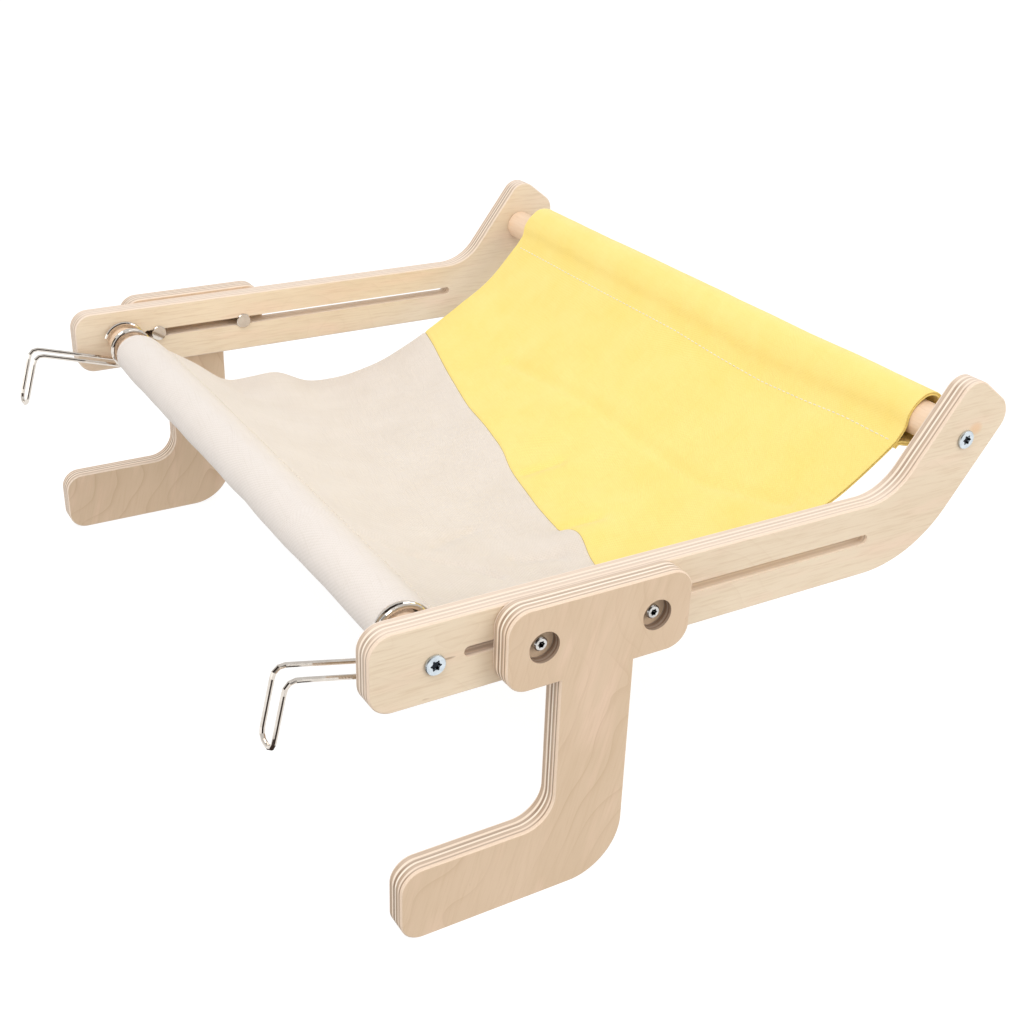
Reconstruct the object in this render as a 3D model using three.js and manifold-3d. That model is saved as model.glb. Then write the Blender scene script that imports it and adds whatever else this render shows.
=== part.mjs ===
// A cat's hammock perch for a window sill. Two bent plywood side rails are joined by two wooden
// dowels, and a two-coloured cloth hammock hangs between the dowels in sewn sleeves. A J-shaped
// plywood leg is bolted through a long slot in each rail, so that it slides along the rail, and a
// bent wire hook swivels on each end of the front dowel.
//
// Millimetres. The origin is on the front dowel's axis, midway between the rails. +X points to the
// raised back end, +Y to the left rail and +Z up. Each side is built once, as the right side, and
// mirrored for the left.
import * as THREE from "three";
import { mergeVertices } from "three/addons/utils/BufferGeometryUtils.js";
import Module from "manifold-3d";

const wasm = await Module();
wasm.setup();

const gap = 0.3; // between pieces that touch
const degree = Math.PI / 180;

// Plywood plates
const plyThickness = 15;
const easedEdge = 0.8; // chamfer on every edge of a plate
const cornerRadius = 14;

// Side rails
const outerWidth = 560; // over both rails
const railAboveDowel = 25;
const railBelowDowel = 23;
const frontReach = 38; // from the front dowel's axis to the rail's front end
const armAngle = 53 * degree;
const armReach = 35; // from the back dowel's axis to the arm's end
const bendInnerRadius = 40;
const bendOuterRadius = 80;
const backDowel = new THREE.Vector2(371.5, 55);
const slotStart = 17.5;
const slotEnd = 300;
const slotHeight = 6.4;
const slotRise = 2; // of the slot's centre line above the front dowel's axis

// Legs, measured from the front bolt
const boltPitch = 73;
const headMargin = 23; // from a bolt to the end of the leg's head
const headHeight = 50;
const shaftStart = 11.5;
const shaftWidth = 48;
const toeReach = 85;
const footTop = -121;
const footHeight = 48;
const heelRadius = 35;
const filletRadius = 20;
const legBoltX = { right: 57.5, left: 29.5 };

// Dowels, their screws and threaded inserts
const dowelRadius = 12;
const insertRadius = 5;
const insertLength = 15;
const screwHeadRadius = 6;
const screwHeadHeight = 1.6;
const screwSocketRadius = 2.6; // over the corners of the hexagon
const screwRadius = 2.7;
const screwHoleRadius = 3.3;

// Leg bolts and the cap nuts that they screw into
const counterboreRadius = 9.5;
const counterboreDepth = 7;
const boltHeadRadius = 4.25;
const boltHeadHeight = 3.4;
const boltSocketRadius = 1.9;
const boltRadius = 1.9;
const nutHeadRadius = 6;
const nutHeadHeight = 1.5;
const nutSleeveRadius = 2.9;
const nutBoreRadius = 2.2;
const nutEndWall = 5; // of solid metal behind the nut's head

// Wire hooks
const wireRadius = 1.5;
const hookCoilRadius = 15.5;
const hookArmLength = 72.5;
const hookProngLength = 42;
const hookWireSpacing = 16;
const hookBendRadius = 7;
const hookCentreY = -253.3;
const hookWireStep = 3.6; // between the rings of points along the wire
// How steeply each hook's arms rise towards the front
const hookPitch = { right: 13.3 * degree, left: 16.5 * degree };
const hookOuterEnd = 178 * degree; // where the wire's outer cut end lies, at the front of the dowel
const hookInnerTurn = 655 * degree; // of wire round the dowel from the inner arm
const hookCoilPitch = 3.4; // from one turn to the next

// Cloth. Each sleeve is a loose loop, stitched shut at a corner where the sheet leaves it.
const clothThickness = 1.6;
const clothRightEnd = { front: -235.5, back: -243 };
const clothLeftEnd = 235;
const clothPullIn = 13; // of each side edge, midway between the dowels
const clothSag = 66; // below the straight line between the sleeves' corners
const frontSleeve = {
  centre: new THREE.Vector2(1.5, -1),
  radius: 16,
  corner: new THREE.Vector2(25, -2.5),
};
const backSleeve = {
  centre: new THREE.Vector2(374, 55.5),
  radius: 17.1,
  corner: new THREE.Vector2(351, 42.5),
};
const seamMiddle = 0.567; // share of the cloth's length in front of the seam
const seamSlant = 0.257; // how much larger that share is at the left edge than at the right
const seamGap = 0.001; // as a share of the cloth's length

const outerFace = -outerWidth / 2;
const innerFace = outerFace + plyThickness;
const legInnerFace = outerFace - gap;
const legOuterFace = legInnerFace - plyThickness;
const dowelLength = 2 * (-innerFace - gap);

function material(color, roughness, metalness = 0) {
  return new THREE.MeshStandardMaterial({ color, roughness, metalness });
}

const finish = {
  railPly: material(0xecd9be, 0.55),
  legPly: material(0xdcc0a0, 0.55),
  dowel: material(0xe8c8a8, 0.6),
  zinc: material(0xd4dbe0, 0.3, 1),
  nickel: material(0xb9b2a8, 0.2, 1),
  brass: material(0xc8a968, 0.35, 1),
  canvas: material(0xeee6da, 0.9),
  yellow: material(0xf8e27a, 0.9),
};

function mesh(name, geometry, look) {
  const made = new THREE.Mesh(geometry, look);
  made.name = name;
  return made;
}

// Booleans

function toSolid(geometry) {
  const bare = geometry.clone();
  bare.deleteAttribute("normal");
  bare.deleteAttribute("uv");
  const merged = mergeVertices(bare, 1e-4);
  return new wasm.Manifold(
    new wasm.Mesh({
      numProp: 3,
      vertProperties: merged.attributes.position.array,
      triVerts: new Uint32Array(merged.index.array),
    }),
  );
}

function toGeometry(solid) {
  const data = solid.getMesh();
  const geometry = new THREE.BufferGeometry();
  geometry.setAttribute("position", new THREE.BufferAttribute(data.vertProperties, 3));
  geometry.setIndex(new THREE.BufferAttribute(data.triVerts, 1));
  geometry.computeVertexNormals();
  return geometry;
}

function cut(body, ...tools) {
  return toGeometry(tools.reduce((left, tool) => left.subtract(toSolid(tool)), toSolid(body)));
}

function join(body, other) {
  return toGeometry(toSolid(body).add(toSolid(other)));
}

// Outlines, drawn in X and Z

// A closed outline through corners [x, z, radius], taken counterclockwise; a radius of 0 is sharp.
function roundedOutline(corners) {
  const shape = new THREE.Shape();
  corners.forEach(([x, z, radius], i) => {
    const corner = new THREE.Vector2(x, z);
    const [beforeX, beforeZ] = corners.at(i - 1);
    const [afterX, afterZ] = corners[(i + 1) % corners.length];
    const incoming = corner.clone().sub(new THREE.Vector2(beforeX, beforeZ)).normalize();
    const outgoing = new THREE.Vector2(afterX, afterZ).sub(corner).normalize();
    const turn = Math.atan2(incoming.cross(outgoing), incoming.dot(outgoing));
    const setback = radius * Math.tan(Math.abs(turn) / 2);
    const start = corner.clone().addScaledVector(incoming, -setback);
    if (i === 0) shape.moveTo(start.x, start.y);
    else shape.lineTo(start.x, start.y);
    if (radius === 0) return;
    const side = Math.sign(turn);
    const inward = new THREE.Vector2(-incoming.y, incoming.x).multiplyScalar(side);
    const centre = start.clone().addScaledVector(inward, radius);
    const from = Math.atan2(-inward.y, -inward.x);
    shape.absarc(centre.x, centre.y, radius, from, from + turn, side < 0);
  });
  shape.closePath();
  return shape;
}

function roundHole(x, z, radius) {
  return new THREE.Path().absarc(x, z, radius, 0, 2 * Math.PI, true);
}

// A tool that cuts a slot with round ends through a plate.
function slotCutter(startX, endX, z, height) {
  const radius = height / 2;
  const outline = new THREE.Shape();
  outline.absarc(endX - radius, z, radius, -Math.PI / 2, Math.PI / 2, false);
  outline.absarc(startX + radius, z, radius, Math.PI / 2, 1.5 * Math.PI, false);
  const geometry = new THREE.ExtrudeGeometry(outline, {
    depth: plyThickness + 2,
    bevelEnabled: false,
    curveSegments: 12,
  });
  return geometry.translate(0, 0, -1).rotateX(Math.PI / 2);
}

// A plate of plywood with eased edges, upright, reaching from y = 0 to y = -plyThickness.
function plate(outline) {
  const geometry = new THREE.ExtrudeGeometry(outline, {
    depth: plyThickness - 2 * easedEdge,
    bevelThickness: easedEdge,
    bevelSize: easedEdge,
    bevelOffset: -easedEdge,
    bevelSegments: 1,
    curveSegments: 12,
  });
  geometry.translate(0, 0, easedEdge);
  return geometry.rotateX(Math.PI / 2);
}

// Round and hexagonal pieces on an axis along Y

// Turns a closed outline of [radius, y] points round the Y axis.
function turned(profile, segments = 32) {
  return new THREE.LatheGeometry(
    profile.map(([radius, y]) => new THREE.Vector2(radius, y)),
    segments,
  );
}

function cylinder(radius, fromY, toY, segments = 32) {
  const geometry = new THREE.CylinderGeometry(radius, radius, toY - fromY, segments);
  return geometry.translate(0, (fromY + toY) / 2, 0);
}

// A machine screw whose head stands on y = 0 and points to -Y, with a hexagonal socket.
function machineScrew(headRadius, headHeight, shankRadius, shankLength, socketRadius) {
  const rim = 0.25 * headHeight;
  const body = turned([
    [0, -headHeight],
    [headRadius - rim, -headHeight],
    [headRadius, -headHeight + rim],
    [headRadius, 0],
    [shankRadius, 0],
    [shankRadius, shankLength],
    [0, shankLength],
  ]);
  const socketDepth = 0.6 * headHeight;
  return cut(body, cylinder(socketRadius, -headHeight - 1, -headHeight + socketDepth, 6));
}

// Side rail

function railOutline() {
  const along = new THREE.Vector2(Math.cos(armAngle), Math.sin(armAngle));
  const outward = new THREE.Vector2(along.y, -along.x);
  const lowerEdge = backDowel.clone().addScaledVector(outward, railBelowDowel);
  const upperEdge = backDowel.clone().addScaledVector(outward, -railAboveDowel);
  const lowerTip = lowerEdge.clone().addScaledVector(along, armReach);
  const upperTip = upperEdge.clone().addScaledVector(along, armReach);
  const crossing = (edge, z) => edge.x + (z - edge.y) / Math.tan(armAngle);
  return roundedOutline([
    [-frontReach, -railBelowDowel, cornerRadius],
    [crossing(lowerEdge, -railBelowDowel), -railBelowDowel, bendOuterRadius],
    [lowerTip.x, lowerTip.y, cornerRadius],
    [upperTip.x, upperTip.y, cornerRadius],
    [crossing(upperEdge, railAboveDowel), railAboveDowel, bendInnerRadius],
    [-frontReach, railAboveDowel, cornerRadius],
  ]);
}

function sideRail(side) {
  const outline = railOutline();
  outline.holes.push(
    roundHole(0, 0, screwHoleRadius),
    roundHole(backDowel.x, backDowel.y, screwHoleRadius),
  );
  const slotted = cut(plate(outline), slotCutter(slotStart, slotEnd, slotRise, slotHeight));
  const rail = mesh(`${side}_side_rail`, slotted, finish.railPly);
  rail.position.y = innerFace;
  return rail;
}

// Dowels with a threaded insert in each end

function dowel(name) {
  const half = dowelLength / 2;
  const socket = half - insertLength - 2 * gap;
  const boreRadius = insertRadius + gap;
  return mesh(
    name,
    turned([
      [0, -socket],
      [boreRadius, -socket],
      [boreRadius, -half],
      [dowelRadius - easedEdge, -half],
      [dowelRadius, -half + easedEdge],
      [dowelRadius, half - easedEdge],
      [dowelRadius - easedEdge, half],
      [boreRadius, half],
      [boreRadius, socket],
      [0, socket],
    ]),
    finish.dowel,
  );
}

// The screw and insert that hold one end of a dowel to the rail.
function dowelFixings(side, end, x, z) {
  const insertStart = -dowelLength / 2 + gap;
  const insertWall = insertRadius - screwRadius - gap;
  const insert = mesh(
    `${side}_${end}_insert`,
    turned([
      [insertRadius - insertWall, insertStart],
      [insertRadius, insertStart],
      [insertRadius, insertStart + insertLength],
      [insertRadius - insertWall, insertStart + insertLength],
      [insertRadius - insertWall, insertStart],
    ]),
    finish.brass,
  );
  const screwLength = plyThickness + 0.8 * insertLength;
  const screw = mesh(
    `${side}_${end}_dowel_screw`,
    machineScrew(screwHeadRadius, screwHeadHeight, screwRadius, screwLength, screwSocketRadius),
    finish.zinc,
  );
  screw.position.y = outerFace - gap;
  const fixings = new THREE.Group();
  fixings.position.set(x, 0, z);
  fixings.add(insert, screw);
  return fixings;
}

// Leg with its two bolts and cap nuts

function legOutline() {
  const headStart = -headMargin;
  const headEnd = boltPitch + headMargin;
  const halfHead = headHeight / 2;
  const shaftEnd = shaftStart + shaftWidth;
  const sole = footTop - footHeight;
  return roundedOutline([
    [-toeReach, sole, cornerRadius],
    [shaftEnd, sole, heelRadius],
    [shaftEnd, -halfHead, 0],
    [headEnd, -halfHead, cornerRadius],
    [headEnd, halfHead, cornerRadius],
    [headStart, halfHead, cornerRadius],
    [headStart, -halfHead, cornerRadius],
    [shaftStart, -halfHead, 0],
    [shaftStart, footTop, filletRadius],
    [-toeReach, footTop, cornerRadius],
  ]);
}

function leg(side) {
  const outside = -plyThickness - 1;
  const floor = -plyThickness + counterboreDepth;
  const holes = [0, boltPitch].flatMap((x) => [
    cylinder(counterboreRadius, outside, floor, 40).translate(x, 0, 0),
    cylinder(screwHoleRadius, outside, 1).translate(x, 0, 0),
  ]);
  const made = mesh(`${side}_leg`, cut(plate(legOutline()), ...holes), finish.legPly);
  made.position.y = legInnerFace;
  return made;
}

function capNut(name) {
  const headTop = nutHeadHeight;
  const rim = 0.4;
  const sleeveEnd = legInnerFace - innerFace - 5;
  const made = mesh(
    name,
    turned([
      [0, headTop],
      [0, nutHeadHeight - nutEndWall],
      [nutBoreRadius, nutHeadHeight - nutEndWall],
      [nutBoreRadius, sleeveEnd],
      [nutSleeveRadius, sleeveEnd],
      [nutSleeveRadius, 0],
      [nutHeadRadius, 0],
      [nutHeadRadius, headTop - rim],
      [nutHeadRadius - rim, headTop],
      [0, headTop],
    ]),
    finish.nickel,
  );
  made.position.y = innerFace + gap;
  return made;
}

function legBolt(name) {
  const made = mesh(
    name,
    machineScrew(boltHeadRadius, boltHeadHeight, boltRadius, plyThickness, boltSocketRadius),
    finish.zinc,
  );
  made.position.y = legOuterFace + counterboreDepth - gap;
  return made;
}

function legAssembly(side) {
  const assembly = new THREE.Group();
  assembly.position.set(legBoltX[side], 0, slotRise);
  assembly.add(leg(side));
  for (const [place, x] of [["front", 0], ["rear", boltPitch]]) {
    const fastener = new THREE.Group();
    fastener.position.x = x;
    fastener.add(capNut(`${side}_${place}_cap_nut`), legBolt(`${side}_${place}_leg_bolt`));
    assembly.add(fastener);
  }
  return assembly;
}

// Wire hook: one wire that curls round the dowel, runs forward, turns down, and comes back

// Part of a coil round the Y axis, between two angles and two places along the axis.
class Coil extends THREE.Curve {
  constructor(startY, endY, startAngle, endAngle) {
    super();
    Object.assign(this, { startY, endY, startAngle, endAngle });
  }

  getPoint(t, target = new THREE.Vector3()) {
    const angle = THREE.MathUtils.lerp(this.startAngle, this.endAngle, t);
    const y = THREE.MathUtils.lerp(this.startY, this.endY, t);
    return target.set(hookCoilRadius * Math.cos(angle), y, hookCoilRadius * Math.sin(angle));
  }
}

// Straight stretches between corners, each corner rounded.
function addRoundedRoute(path, corners) {
  let from = corners[0];
  for (let i = 1; i < corners.length - 1; i++) {
    const back = corners[i - 1].clone().sub(corners[i]).setLength(hookBendRadius);
    const ahead = corners[i + 1].clone().sub(corners[i]).setLength(hookBendRadius);
    const start = corners[i].clone().add(back);
    const end = corners[i].clone().add(ahead);
    path.add(new THREE.LineCurve3(from, start));
    path.add(new THREE.QuadraticBezierCurve3(start, corners[i], end));
    from = end;
  }
  path.add(new THREE.LineCurve3(from, corners.at(-1)));
}

function hookRoute() {
  const outerY = -hookWireSpacing / 2;
  const innerY = hookWireSpacing / 2;
  const armZ = -hookCoilRadius;
  const tipZ = armZ - hookProngLength;
  const bottom = -Math.PI / 2;
  const coiledY = innerY + (hookCoilPitch * hookInnerTurn) / (2 * Math.PI);
  const path = new THREE.CurvePath();
  path.add(new Coil(outerY, outerY, hookOuterEnd, bottom));
  addRoundedRoute(path, [
    new THREE.Vector3(0, outerY, armZ),
    new THREE.Vector3(-hookArmLength, outerY, armZ),
    new THREE.Vector3(-hookArmLength, outerY, tipZ),
    new THREE.Vector3(-hookArmLength, innerY, tipZ),
    new THREE.Vector3(-hookArmLength, innerY, armZ),
    new THREE.Vector3(0, innerY, armZ),
  ]);
  path.add(new Coil(innerY, coiledY, bottom, bottom + hookInnerTurn));
  return path;
}

function wireHook(side) {
  const section = new THREE.Shape().absarc(0, 0, wireRadius, 0, 2 * Math.PI);
  const route = hookRoute();
  const geometry = new THREE.ExtrudeGeometry(section, {
    steps: Math.round(route.getLength() / hookWireStep),
    curveSegments: 5,
    extrudePath: route,
  });
  const hook = mesh(`${side}_wire_hook`, geometry, finish.nickel);
  hook.position.y = hookCentreY;
  hook.rotation.y = hookPitch[side];
  return hook;
}

// Cloth hammock

// A point on the sagging sheet: across runs from -1 (right edge) to 1 (left edge).
function clothPoint(share, across, lift) {
  const start = frontSleeve.corner.clone().lerp(frontSleeve.centre, 0.03);
  const end = backSleeve.corner.clone().lerp(backSleeve.centre, 0.03);
  const chord = end.sub(start);
  const slope = (chord.y - 4 * clothSag * (1 - 2 * share)) / chord.x;
  const normal = new THREE.Vector2(-slope, 1).normalize();
  const rightEnd = THREE.MathUtils.lerp(clothRightEnd.front, clothRightEnd.back, share);
  const middle = (clothLeftEnd + rightEnd) / 2;
  const halfWidth = (clothLeftEnd - rightEnd) / 2 - clothPullIn * Math.sin(Math.PI * share);
  return new THREE.Vector3(
    start.x + chord.x * share + normal.x * lift,
    middle + across * halfWidth,
    start.y + chord.y * share - 4 * clothSag * share * (1 - share) + normal.y * lift,
  );
}

// The share of the cloth's length at which the seam runs.
function seamShare(across) {
  return seamMiddle + (seamSlant / 2) * across;
}

// A closed sheet between two lines across the cloth, each given as a share of its length.
function clothSheet(fromShare, toShare) {
  const lengthSteps = 24;
  const widthSteps = 16;
  const half = clothThickness / 2;
  const positions = [];
  for (const lift of [half, -half]) {
    for (let j = 0; j <= widthSteps; j++) {
      const across = -1 + (2 * j) / widthSteps;
      for (let i = 0; i <= lengthSteps; i++) {
        const share = THREE.MathUtils.lerp(fromShare(across), toShare(across), i / lengthSteps);
        positions.push(...clothPoint(share, across, lift).toArray());
      }
    }
  }
  const row = lengthSteps + 1;
  const layer = row * (widthSteps + 1);
  const triangles = [];
  const addQuad = (a, b, c, d) => triangles.push(a, b, c, a, c, d);
  for (let j = 0; j < widthSteps; j++) {
    for (let i = 0; i < lengthSteps; i++) {
      const a = j * row + i;
      addQuad(a, a + 1, a + row + 1, a + row);
      addQuad(layer + a, layer + a + row, layer + a + row + 1, layer + a + 1);
    }
  }
  const rim = [];
  for (let i = 0; i < lengthSteps; i++) rim.push(i);
  for (let j = 0; j < widthSteps; j++) rim.push(j * row + lengthSteps);
  for (let i = lengthSteps; i > 0; i--) rim.push(widthSteps * row + i);
  for (let j = widthSteps; j > 0; j--) rim.push(j * row);
  rim.forEach((a, k) => {
    const b = rim[(k + 1) % rim.length];
    addQuad(a, layer + a, layer + b, b);
  });
  const geometry = new THREE.BufferGeometry();
  geometry.setAttribute("position", new THREE.Float32BufferAttribute(positions, 3));
  geometry.setIndex(triangles);
  return geometry;
}

// Most of a circle, closed by two straight sides that meet at a corner.
function teardrop({ centre, radius, corner }, scale) {
  const toCorner = corner.clone().sub(centre);
  const spread = Math.acos(radius / toCorner.length());
  const start = toCorner.angle() + spread;
  const end = toCorner.angle() - spread + 2 * Math.PI;
  const reach = radius * scale;
  const tip = centre.clone().addScaledVector(toCorner, scale);
  const shape = new THREE.Shape();
  shape.moveTo(tip.x, tip.y);
  shape.lineTo(centre.x + reach * Math.cos(start), centre.y + reach * Math.sin(start));
  shape.absarc(centre.x, centre.y, reach, start, end);
  shape.closePath();
  return shape;
}

function clothSleeve(sleeve, rightEnd) {
  const outline = teardrop(sleeve, 1);
  outline.holes.push(teardrop(sleeve, 1 - clothThickness / sleeve.radius));
  const tube = new THREE.ExtrudeGeometry(outline, {
    depth: clothLeftEnd - rightEnd,
    bevelEnabled: false,
    curveSegments: 36,
  });
  return tube.rotateX(Math.PI / 2).translate(0, clothLeftEnd, 0);
}

function frontPanel() {
  const sheet = clothSheet(
    () => 0,
    (across) => seamShare(across) - seamGap / 2,
  );
  const sleeve = clothSleeve(frontSleeve, clothRightEnd.front);
  return mesh("hammock_front_panel", join(sleeve, sheet), finish.canvas);
}

function backPanel() {
  const sheet = clothSheet(
    (across) => seamShare(across) + seamGap / 2,
    () => 1,
  );
  const sleeve = clothSleeve(backSleeve, clothRightEnd.back);
  return mesh("hammock_back_panel", join(sleeve, sheet), finish.yellow);
}

// Assembly

function sideAssembly(side) {
  const assembly = new THREE.Group();
  assembly.add(
    sideRail(side),
    dowelFixings(side, "front", 0, 0),
    dowelFixings(side, "back", backDowel.x, backDowel.y),
    legAssembly(side),
    wireHook(side),
  );
  return assembly;
}

const rightSide = sideAssembly("right");
const leftSide = sideAssembly("left");
leftSide.scale.y = -1;

const frontBar = dowel("front_dowel");
const backBar = dowel("back_dowel");
backBar.position.set(backDowel.x, 0, backDowel.y);

const group = new THREE.Group();
group.add(rightSide, leftSide, frontBar, backBar, frontPanel(), backPanel());

export default group;
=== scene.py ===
"""Looks for a window sill cat hammock: plywood rails and legs, two dowels, metal fittings, and a
two-coloured canvas hammock. Metres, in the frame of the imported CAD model: +X to the raised back
end, +Y to the left rail, +Z up, with the origin on the front dowel's axis."""

import math

import bmesh
import bpy
import numpy as np
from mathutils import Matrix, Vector, noise


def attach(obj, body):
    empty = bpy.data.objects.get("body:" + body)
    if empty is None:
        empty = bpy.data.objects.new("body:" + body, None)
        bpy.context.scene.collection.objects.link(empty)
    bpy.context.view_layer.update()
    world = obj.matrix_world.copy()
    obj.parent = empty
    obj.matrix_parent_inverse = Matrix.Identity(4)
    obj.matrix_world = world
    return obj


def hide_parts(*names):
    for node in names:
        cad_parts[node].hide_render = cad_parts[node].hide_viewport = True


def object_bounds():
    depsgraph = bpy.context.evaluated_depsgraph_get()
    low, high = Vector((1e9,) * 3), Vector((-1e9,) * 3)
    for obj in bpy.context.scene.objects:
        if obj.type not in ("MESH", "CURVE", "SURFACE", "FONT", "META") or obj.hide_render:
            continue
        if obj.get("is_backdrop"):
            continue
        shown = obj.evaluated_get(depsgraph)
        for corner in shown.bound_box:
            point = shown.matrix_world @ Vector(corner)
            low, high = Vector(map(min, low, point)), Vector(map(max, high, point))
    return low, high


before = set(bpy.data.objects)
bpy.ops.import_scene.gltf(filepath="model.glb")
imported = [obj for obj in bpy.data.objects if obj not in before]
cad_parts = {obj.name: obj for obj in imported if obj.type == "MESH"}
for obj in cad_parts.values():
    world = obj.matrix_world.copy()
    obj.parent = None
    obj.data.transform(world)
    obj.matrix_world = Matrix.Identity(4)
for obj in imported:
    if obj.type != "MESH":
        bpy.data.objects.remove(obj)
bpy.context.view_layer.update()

MM = 0.001

# Camera
CAMERA_TARGET = Vector((0.1917, -0.0365, -0.0643))
CAMERA_DISTANCE = 1.036
CAMERA_AZIMUTH = -31.3
CAMERA_ELEVATION = 26.6
CAMERA_ROLL = 2.03
CAMERA_LENS = 49.7  # mm, on a 36 mm sensor

# Studio
WORLD_BELOW = 0.6  # brightness of the light from straight below
WORLD_ABOVE = 0.8  # and from straight above
FLOOR_SIZE = 60
FLOOR_GAP = 0.2 * MM  # between the floor and the object's lowest point
BACKDROP_RADIUS = 25

# Area lights: place, diameter and power in watts
LIGHTS = {
    "key": ((-1.0, -1.0, 2.6), 1.6, 30),
    "side": ((-2.4, -0.6, 0.2), 2.0, 12),
    "fill": ((1.4, -2.4, 1.0), 2.2, 26),
    "back": ((1.4, 2.0, 2.2), 1.8, 8),
}
LIGHTS_AIM = Vector((0.15, 0, 0))

# Plywood
PLY_THICKNESS = 15 * MM
RAIL_OUTER_FACE = 280 * MM
LEG_OUTER_FACE = 295.3 * MM
SLOT_Z = 2 * MM
SLOT_X = (15 * MM, 302 * MM)
SLOT_HALF_HEIGHT = 4.5 * MM  # of the band that holds the slot's walls
BORE_RADIUS = 10.2 * MM  # of the circle that holds a counterbore's walls
LEG_BOLTS_X = (57.5 * MM, 130.5 * MM)  # of the right leg
LEFT_LEG_AHEAD = 28 * MM  # how much farther forward the left leg stands

# Cloth
CLOTH_RIGHT_FRONT = -235.5 * MM
CLOTH_RIGHT_BACK = -243 * MM
CLOTH_LEFT = 230.5 * MM
CLOTH_PULL_IN = (13 * MM, -8.5 * MM)  # of the right and left edge, midway between the dowels
CLOTH_THICKNESS = 2.6 * MM
CLOTH_SAG = 66 * MM
FRONT_AXIS = np.array((0.0, 0.0))
BACK_AXIS = np.array((371.5, 55.0)) * MM
FRONT_CORNER = np.array((25.0, -2.5)) * MM  # where the front sleeve is stitched shut
BACK_CORNER = np.array((351.0, 42.5)) * MM
SLEEVE_TAIL = 2.5 * MM  # of cloth below the sheet, past the sleeve's stitches
SEAM_GAP = 0.3 * MM
SEAM_GROOVE = 0.9 * MM  # depth of the dip in each cloth at the seam
SEAM_GROOVE_WIDTH = 1.3 * MM
RIPPLE_REACH = 14 * MM  # above the sagging sheet; what is higher is a sleeve and stays smooth
GRID_ALONG = 2.6 * MM
GRID_ACROSS = 170
GRID_FRONT = 122  # points along the front cloth
GRID_BACK = 110
SEAM_ROWS = (0, 0.4, 0.8, 1.3, 1.9, 2.8)  # distances from the seam, in mm, of the first points

# The double lip along a side edge: how far out and how far up, in half thicknesses
EDGE_LIPS = [(0.0, 1.0), (0.5, 1.12), (1.0, 0.8), (0.95, 0.35), (0.5, 0.0),
             (0.95, -0.35), (1.0, -0.8), (0.5, -1.12), (0.0, -1.0)]

# Rises and dips in the sheet: height in mm, then x and its spread, y and its spread, in metres
SWELLS = [
    (9, 0.114, 0.020, 0.223, 0.060),
    (-8, 0.064, 0.018, 0.223, 0.060),
    (7, 0.262, 0.060, 0.223, 0.060),
    (3, 0.185, 0.030, -0.125, 0.014),
    (3.5, 0.285, 0.022, -0.243, 0.030),
]

# Creases in the sheet: how deep and how wide they are, and the x and y that they pass, all in mm
CREASES = [
    (3.2, 3.5, [(32, -121), (44, -130), (70, -128), (95, -134), (115, -151)]),
    (2.2, 3.5, [(91, -107), (116, -89), (136, -81)]),
    (2.8, 4.0, [(139, -130), (169, -138)]),
    (2.8, 4.5, [(278, 118), (285, 7), (281, -79), (279, -141), (295, -215)]),
    (2.4, 4.5, [(210, -24), (235, -32)]),
    (2.4, 4.5, [(187, -107), (216, -114)]),
]

# How far the back row of stitches stands above its straight course: y and height, both in mm
BACK_STITCH_LIFT = [(-237, 0.5), (-196, 0.5), (-156, -2.5), (-112, -4.5), (-65, -3.0), (-6, 0.5),
                    (118, 2.0), (218, 4.0)]

# Stitches
STITCH_PITCH = 4.6 * MM
STITCH_LENGTH = 3.3 * MM
STITCH_MARGIN = 1 * MM  # at each end of a row
STITCH_RADIUS = 0.42 * MM
STITCH_SIDES = 6
STITCH_PROFILE = [(0.0, 0.35), (0.12, 0.85), (0.35, 1.0), (0.65, 1.0), (0.88, 0.85), (1.0, 0.35)]

# Distance of each sleeve's cloth from its dowel's axis, in mm, by the angle in degrees from +X
FRONT_SLEEVE = [(325, 20.0), (295, 17.4), (265, 15.4), (230, 14.0), (200, 13.5), (160, 13.4),
                (125, 13.3), (90, 13.6), (60, 14.2), (30, 16.5)]
BACK_SLEEVE = [(195, 15.2), (165, 13.7), (140, 13.6), (115, 14.3), (85, 16.6), (55, 18.1),
               (20, 17.8), (-20, 17.0), (-60, 16.4), (-95, 16.8), (-122, 19.0)]

# The seam between the two cloths: x in mm, by the place across from -1 (right) to 1 (left)
SEAM = [(-1.0, 168), (-0.85, 176), (-0.68, 184), (-0.56, 191.5), (-0.5, 192), (-0.45, 187.5),
        (-0.37, 189.5), (-0.26, 194), (-0.04, 205), (0.14, 217), (0.46, 229), (0.79, 245),
        (1.0, 255)]


# Node graphs


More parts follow.
